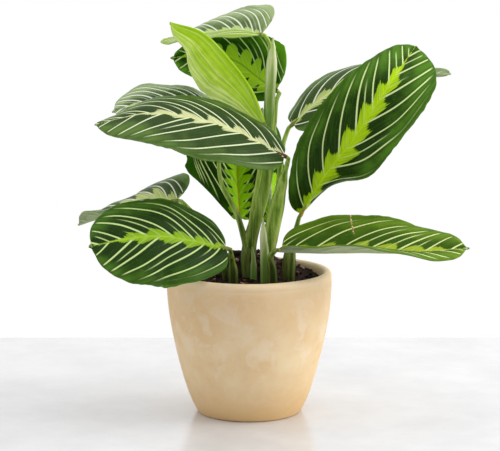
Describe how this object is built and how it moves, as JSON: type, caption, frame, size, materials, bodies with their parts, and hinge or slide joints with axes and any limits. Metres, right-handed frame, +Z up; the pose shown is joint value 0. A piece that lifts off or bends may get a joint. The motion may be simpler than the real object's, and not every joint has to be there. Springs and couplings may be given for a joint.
{
  "type": "potted prayer plant",
  "caption": "Prayer plant with broad oval leaves, each with a feathered pale midrib, standing in soil in a plain tapered clay pot with a rounded rim.",
  "frame": {"origin": "centre of the pot's flat base, on the plane it stands on", "axes": "+Z up along the pot's axis, -Y towards the front as pictured, +X to the viewer's right"},
  "size_m": [0.2822, 0.1563, 0.2945],
  "materials": {
    "clay": "matte beige clay",
    "soil": "dark crumbly potting soil",
    "stalk": "satin green stalk",
    "leaf": "satin dark green leaf with pale veins",
    "young_leaf": "satin yellow-green leaf"
  },
  "bodies": {
    "root": {"pot": "clay", "soil": "soil", "stem_tall": "stalk", "stem_middle": "stalk", "stem_right": "stalk", "stem_right_front": "stalk", "stem_left_front": "stalk", "stem_left_back": "stalk", "leaf_right_upper": "leaf", "leaf_right_back": "leaf", "leaf_right_low": "leaf", "leaf_left_upper": "leaf", "leaf_left_back": "leaf", "leaf_centre": "leaf", "leaf_left_low": "leaf", "leaf_left_behind": "leaf", "leaf_top": "leaf", "leaf_top_back": "leaf", "leaf_young_folded": "young_leaf", "leaf_centre_back": "leaf"}
  },
  "joints": []
}
